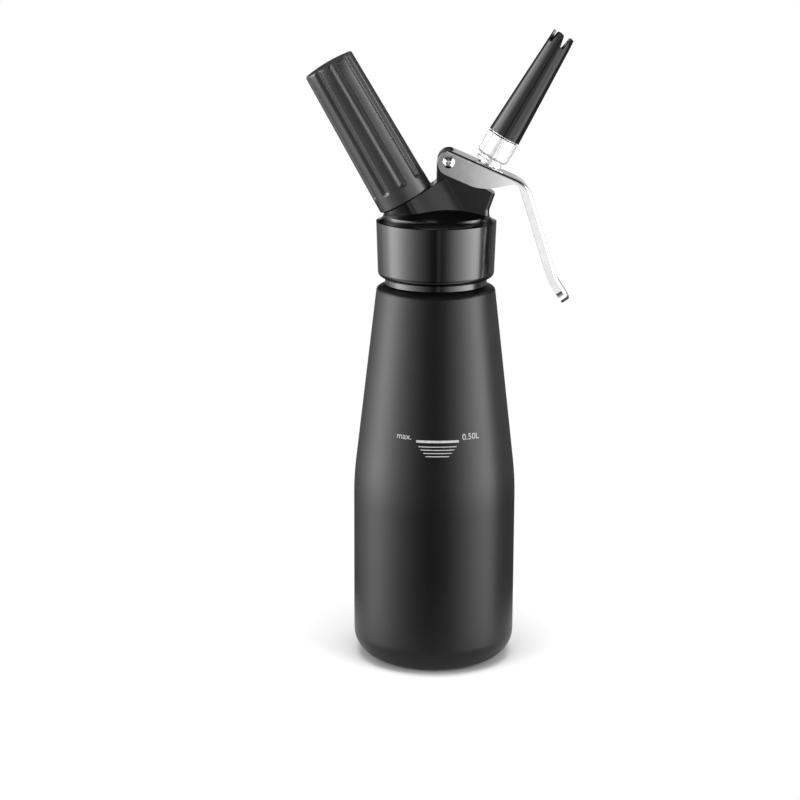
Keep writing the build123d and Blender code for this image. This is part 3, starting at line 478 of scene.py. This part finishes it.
# ---- cast blend between the round charger arm and the flat slab, on both sides ----
blend_start = Vector((ARM_RADIUS * sin(BLEND_TURN), ARM_RADIUS * cos(BLEND_TURN)))
blend_handles = (
    blend_start,
    blend_start + Vector((cos(BLEND_TURN), -sin(BLEND_TURN))) * BLEND_ARM_PULL,
    Vector((BLEND_REACH - BLEND_SLAB_PULL, SLAB_FACE + BLEND_LIFT)),
    Vector((BLEND_REACH, SLAB_FACE)),
)
blend_section = []
for step in range(BLEND_STEPS + 1):
    t = step / BLEND_STEPS
    weights = ((1 - t) ** 3, 3 * t * (1 - t) ** 2, 3 * t * t * (1 - t), t**3)
    parts = [handle * weight for handle, weight in zip(blend_handles, weights)]
    blend_section.append(sum(parts, Vector((0, 0))))
blend_section.append(Vector((BLEND_REACH, SLAB_FACE - BLEND_SINK)))
blend_section.append(Vector((blend_start.x, SLAB_FACE - BLEND_SINK)))
blend_shape = bmesh.new()
for side in (1, -1):
    ends = []
    for along in (BLEND_LOW, BLEND_HIGH):
        origin = FORK + CHARGER_AXIS * along
        places = [origin + CHARGER_ACROSS * place.x + FRONT * (place.y * side) for place in blend_section]
        ends.append([blend_shape.verts.new(place) for place in places])
    join_rows(blend_shape, *ends)
    blend_shape.faces.new(ends[0])
    blend_shape.faces.new(ends[1])
put("arm_blend", smooth_mesh("arm_blend", blend_shape, SHARP_EDGE), "head", head_coat)

# ---- fill mark printed on the bottle ----
mark_ink, mark_tree, mark_shader = new_material("mark_ink")
mark_wear = noise(mark_tree, scale=900, detail=4)
mark_tree.links.new(tint(mark_tree, mark_wear, grey(0.42), grey(0.62)), mark_shader.inputs["Base Color"])
mark_tree.links.new(spread(mark_tree, mark_wear, (0.45, 0.65)), mark_shader.inputs["Roughness"])

bottle_surface = BVHTree.FromObject(nodes["bottle"], bpy.context.evaluated_depsgraph_get())


def on_bottle(around, height):
    """The point of the bottle's outside at a height, that far round it from the mark's middle."""
    turn = MARK_TURN + around / BOTTLE_RADIUS_AT_MARK
    out = Vector((sin(turn), -cos(turn), 0))
    place, normal, *_ = bottle_surface.ray_cast(UP * height + out * OUTSIDE_BOTTLE, -out)
    return place + normal * MARK_LIFT


def mark_bar(shape, half_length, height, thickness):
    """A straight bar of the mark, bent round the bottle."""
    rows = []
    for cell in range(MARK_CELLS + 1):
        around = half_length * (2 * cell / MARK_CELLS - 1)
        rows.append([shape.verts.new(on_bottle(around, height + side * thickness / 2)) for side in (-1, 1)])
    for left, right in zip(rows, rows[1:]):
        shape.faces.new((left[0], right[0], right[1], left[1]))


def mark_text(shape, words, left, height):
    """Plain lettering, bent round the bottle."""
    curve = bpy.data.curves.new("words", "FONT")
    curve.body = words
    curve.size = LETTER_SIZE
    lettering = bpy.data.objects.new("words", curve)
    flat = bpy.data.meshes.new_from_object(lettering)
    places = [on_bottle(left + corner.co.x, height + corner.co.y) for corner in flat.vertices]
    corners = [shape.verts.new(place) for place in places]
    for face in flat.polygons:
        shape.faces.new([corners[index] for index in face.vertices])
    bpy.data.objects.remove(lettering)
    bpy.data.curves.remove(curve)
    bpy.data.meshes.remove(flat)


mark = bmesh.new()
mark_bar(mark, THICK_BAR_HALF_LENGTH, THICK_BAR_HEIGHT, THICK_BAR_THICKNESS)
for bar in range(THIN_BARS):
    half_length = THIN_BAR_HALF_LENGTH - THIN_BAR_SHORTER * bar
    mark_bar(mark, half_length, THIN_BAR_HEIGHT - THIN_BAR_GAP * bar, THIN_BAR_THICKNESS)
mark_text(mark, "max.", WORD_LEFT, THICK_BAR_HEIGHT + WORD_RAISE)
mark_text(mark, "0.50L", NUMBER_LEFT, THICK_BAR_HEIGHT + NUMBER_RAISE)
put("fill_mark", plain_mesh("fill_mark", mark), "bottle", mark_ink)

# ---- floor: paper that catches the shadow near the object and fades to nothing around it ----
FLOOR_RADIUS = 1.2
FLOOR_SEGMENTS = 128
PAPER_GREY = 0.86
PAPER_FULL = 0.05  # out to this far from the middle
PAPER_GONE = 0.13
floor_shape = bmesh.new()
bmesh.ops.create_circle(floor_shape, cap_ends=True, radius=FLOOR_RADIUS, segments=FLOOR_SEGMENTS)
floor_mesh = plain_mesh("floor", floor_shape)
floor = bpy.data.objects.new("floor", floor_mesh)
bpy.context.scene.collection.objects.link(floor)

paper = bpy.data.materials.new("floor_paper")
paper.use_nodes = True
paper_tree = paper.node_tree
paper_tree.nodes.clear()
paper_output = paper_tree.nodes.new("ShaderNodeOutputMaterial")
paper_diffuse = paper_tree.nodes.new("ShaderNodeBsdfDiffuse")
paper_diffuse.inputs["Color"].default_value = (*grey(PAPER_GREY), 1)
paper_clear = paper_tree.nodes.new("ShaderNodeBsdfTransparent")
paper_mix = paper_tree.nodes.new("ShaderNodeMixShader")
paper_place = paper_tree.nodes.new("ShaderNodeTexCoord")
paper_reach = paper_tree.nodes.new("ShaderNodeVectorMath")
paper_reach.operation = "LENGTH"
paper_fade = paper_tree.nodes.new("ShaderNodeMapRange")
paper_fade.interpolation_type = "SMOOTHSTEP"
paper_fade.inputs["From Min"].default_value = PAPER_FULL
paper_fade.inputs["From Max"].default_value = PAPER_GONE
paper_tree.links.new(paper_place.outputs["Object"], paper_reach.inputs[0])
paper_tree.links.new(paper_reach.outputs["Value"], paper_fade.inputs["Value"])
paper_tree.links.new(paper_fade.outputs["Result"], paper_mix.inputs["Fac"])
paper_tree.links.new(paper_diffuse.outputs["BSDF"], paper_mix.inputs[1])
paper_tree.links.new(paper_clear.outputs["BSDF"], paper_mix.inputs[2])
paper_tree.links.new(paper_mix.outputs["Shader"], paper_output.inputs["Surface"])
floor_mesh.materials.append(paper)

# ---- studio: the camera sees white, gloss reflects soft panels, and all other light is plain ----
PLAIN_LEVEL = 0.55
FLOOR_SHARE = 0.17  # of the panels' brightness that is left towards the floor
OVERHEAD = 0.15
# where one tier of the studio passes into the next, as sines of the angle above the horizon
BELOW_TO_BESIDE = (-0.42, -0.04)
BESIDE_TO_MIDDLE = (0.02, 0.10)
MIDDLE_TO_ABOVE = (0.25, 0.30)
ABOVE_TO_SKY = (0.40, 0.65)
SKY_TO_OVERHEAD = (0.82, 0.93)
# the tiers' left and right panels: (degrees round the object from the front, brightness) pairs
BESIDE_LEFT = (
    (0, 0.10), (2, 0.12), (10, 0.35), (20, 1.1), (30, 2.2), (40, 3.3), (50, 5.2), (61, 7.6), (72, 10.5),
    (84, 13.5), (98, 12.5), (106, 7.0), (114, 4.0), (134, 1.0), (155, 0.35), (167, 0.3), (174, 0.9),
    (180, 0.9),
)
BESIDE_RIGHT = (
    (0, 0.17), (1.2, 0.20), (2.1, 0.5), (3.1, 1.8), (6.2, 1.8), (7.4, 0.4), (12, 0.45), (18, 1.2),
    (27, 3.0), (37, 5.4), (47, 8.0), (57.6, 11.0), (68.8, 14.0), (80.6, 15.0), (90, 12.0), (96, 1.2),
    (108, 1.0), (127, 0.6), (155, 0.3), (167, 0.25), (174, 0.9), (180, 0.9),
)
MIDDLE_LEFT = (
    (0, 0.05), (20, 0.8), (50, 1.6), (70, 4.0), (85, 9.0), (110, 8.0), (120, 2.0), (135, 0.4), (155, 0.01),
    (180, 0.004),
)
MIDDLE_RIGHT = (
    (0, 0.05), (8, 0.3), (18, 1.1), (50, 2.0), (62, 3.2), (75, 8.0), (85, 10.0), (94, 9.0), (106, 1.5),
    (125, 0.3), (160, 0.01), (165, 0.25), (174, 0.25), (177, 0.004), (180, 0.004),
)
ABOVE_LEFT = (
    (0, 0.02), (25, 0.4), (40, 1.0), (53, 2.0), (64, 4.5), (75, 6.5), (95, 7.5), (110, 8.0), (120, 2.0),
    (135, 0.3), (155, 0.01), (180, 0.004),
)
ABOVE_RIGHT = (
    (0, 0.01), (50, 0.03), (62, 1.0), (75, 6.0), (85, 9.0), (96, 9.0), (106, 1.5), (125, 0.2), (160, 0.01),
    (180, 0.004),
)
SKY = ((0, 0.03), (95, 0.03), (130, 0.9), (180, 0.9))  # the same at both sides

world = bpy.data.worlds.new("studio")
bpy.context.scene.world = world
world.use_nodes = True
world_tree = world.node_tree
world_tree.nodes.clear()
world_output = world_tree.nodes.new("ShaderNodeOutputWorld")
background = world_tree.nodes.new("ShaderNodeBackground")
world_tree.links.new(background.outputs["Background"], world_output.inputs["Surface"])
direction = world_tree.nodes.new("ShaderNodeTexCoord")
split = world_tree.nodes.new("ShaderNodeSeparateXYZ")
world_tree.links.new(direction.outputs["Generated"], split.inputs["Vector"])


def calculate(operation, *values):
    """A Math node on sockets or plain numbers."""
    node = world_tree.nodes.new("ShaderNodeMath")
    node.operation = operation
    for place, value in enumerate(values):
        if isinstance(value, (int, float)):
            node.inputs[place].default_value = value
        else:
            world_tree.links.new(value, node.inputs[place])
    return node.outputs["Value"]


def between(share, low, high):
    """The low value where the share is 0, the high one where it is 1."""
    low_part = calculate("MULTIPLY", low, calculate("SUBTRACT", 1, share))
    return calculate("ADD", low_part, calculate("MULTIPLY", high, share))


# the turn round the object from the front, 0 to 1 for half a turn to either side
turn_either_way = calculate("ARCTAN2", split.outputs["X"], calculate("MULTIPLY", split.outputs["Y"], -1))
half_turn = calculate("DIVIDE", calculate("ABSOLUTE", turn_either_way), pi)
on_the_right = calculate("GREATER_THAN", split.outputs["X"], 0)


def panel(stops):
    """How bright one side of a tier is, by the turn from the front."""
    node = world_tree.nodes.new("ShaderNodeValToRGB")
    node.color_ramp.interpolation = "LINEAR"
    elements = node.color_ramp.elements
    while len(elements) < len(stops):
        elements.new(0.5)
    brightest = max(level for degrees, level in stops)
    for element, (degrees, level) in zip(elements, stops):
        element.position = degrees / 180
        element.color = (*grey(level / brightest), 1)
    world_tree.links.new(half_turn, node.inputs["Fac"])
    return calculate("MULTIPLY", node.outputs["Color"], brightest)


def tier(left_stops, right_stops):
    """A panel at the left and one at the right."""
    return between(on_the_right, panel(left_stops), panel(right_stops))


def by_height(low, high, heights):
    """The low tier's brightness under the first height, the high tier's above the second."""
    share = world_tree.nodes.new("ShaderNodeMapRange")
    share.interpolation_type = "SMOOTHSTEP"
    share.inputs["From Min"].default_value, share.inputs["From Max"].default_value = heights
    world_tree.links.new(split.outputs["Z"], share.inputs["Value"])
    return between(share.outputs["Result"], low, high)


beside = tier(BESIDE_LEFT, BESIDE_RIGHT)
reflected = by_height(calculate("MULTIPLY", beside, FLOOR_SHARE), beside, BELOW_TO_BESIDE)
reflected = by_height(reflected, tier(MIDDLE_LEFT, MIDDLE_RIGHT), BESIDE_TO_MIDDLE)
reflected = by_height(reflected, tier(ABOVE_LEFT, ABOVE_RIGHT), MIDDLE_TO_ABOVE)
reflected = by_height(reflected, tier(SKY, SKY), ABOVE_TO_SKY)
reflected = by_height(reflected, OVERHEAD, SKY_TO_OVERHEAD)
rays = world_tree.nodes.new("ShaderNodeLightPath")
on_the_object = between(rays.outputs["Is Glossy Ray"], PLAIN_LEVEL, reflected)
strength = between(rays.outputs["Is Camera Ray"], on_the_object, 1)
world_tree.links.new(strength, background.inputs["Strength"])
background.inputs["Color"].default_value = (1, 1, 1, 1)

# ---- lamps ----
LAMP_TARGET = Vector((0, 0, 0.12))  # about the middle of the object


def lamp(name, place, size, power):
    """A soft rectangular lamp that points at the target and shows in no reflection."""
    data = bpy.data.lights.new(name, "AREA")
    data.shape = "RECTANGLE"
    data.size, data.size_y = size
    data.energy = power
    item = bpy.data.objects.new(name, data)
    item.location = place
    item.rotation_euler = (LAMP_TARGET - Vector(place)).to_track_quat("-Z", "Y").to_euler()
    item.visible_camera = False
    item.visible_glossy = False
    bpy.context.scene.collection.objects.link(item)


lamp("lamp_top", place=(0.0, -0.15, 1.3), size=(0.9, 0.9), power=14)
lamp("lamp_left", place=(-0.9, -0.7, 0.6), size=(0.5, 0.9), power=5)
lamp("lamp_right", place=(0.9, -0.7, 0.6), size=(0.5, 0.9), power=6)

# ---- camera ----
CAMERA_PLACE = (-0.01734, -1.05, 0.39)
CAMERA_PITCH = radians(13.877)
CAMERA_ROLL = radians(0.20)
CAMERA_LENS = 98.219
SENSOR_WIDTH = 36.0
camera_data = bpy.data.cameras.new("camera")
camera_data.lens = CAMERA_LENS
camera_data.sensor_width = SENSOR_WIDTH
camera = bpy.data.objects.new("camera", camera_data)
camera.matrix_world = (
    Matrix.Translation(CAMERA_PLACE)
    @ Matrix.Rotation(pi / 2 - CAMERA_PITCH, 4, "X")
    @ Matrix.Rotation(CAMERA_ROLL, 4, "Z")
)
bpy.context.scene.collection.objects.link(camera)
bpy.context.scene.camera = camera
bpy.context.scene.view_settings.view_transform = "Standard"
